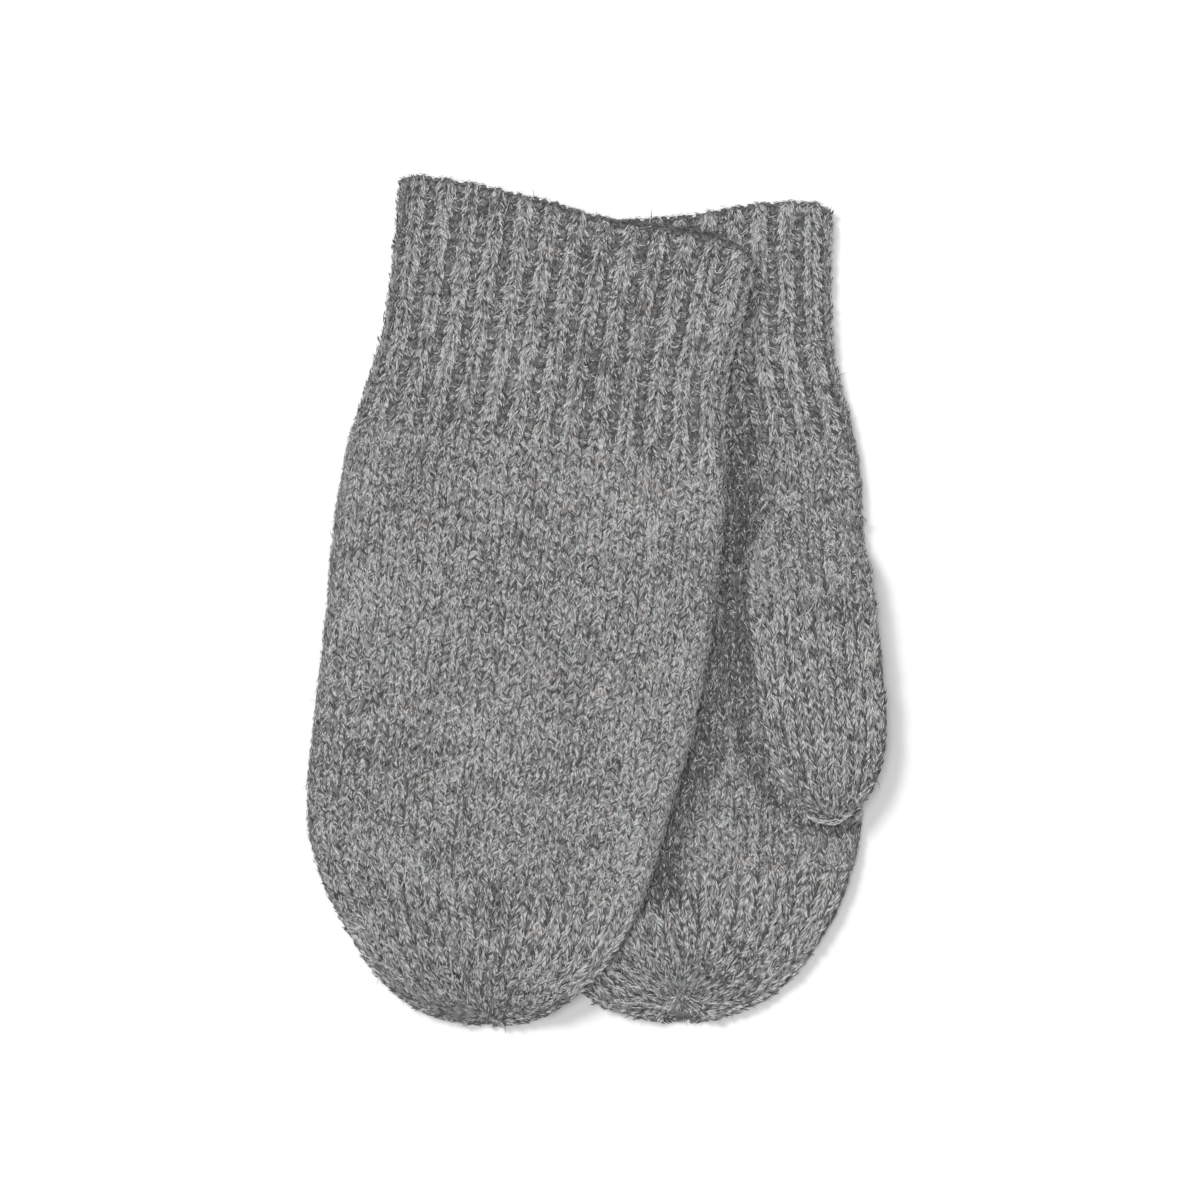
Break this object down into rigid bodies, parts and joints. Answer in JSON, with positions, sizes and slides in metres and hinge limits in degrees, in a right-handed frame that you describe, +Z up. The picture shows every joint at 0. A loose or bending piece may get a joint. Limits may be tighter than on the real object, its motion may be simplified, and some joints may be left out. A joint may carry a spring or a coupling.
{
  "type": "pair of knitted mittens",
  "caption": "Pair of child's plain-knit wool mittens with ribbed cuffs and palm-side thumbs, lying flat with one partly over the other",
  "frame": {"origin": "Middle of the pair's bounding box, on the surface that it lies on", "axes": "+Z up from the surface, +Y towards the open cuffs, +X to the right seen from above with the cuffs at the top"},
  "size_m": [0.1102, 0.159, 0.0111],
  "materials": {
    "rib_wool": "fuzzy ribbed wool knit, grey melange",
    "plain_wool": "fuzzy plain wool knit, grey melange"
  },
  "bodies": {
    "root": {"lower_cuff": "rib_wool", "lower_hand": "plain_wool", "lower_thumb": "plain_wool", "upper_cuff": "rib_wool", "upper_hand": "plain_wool", "upper_thumb": "plain_wool"}
  },
  "joints": []
}
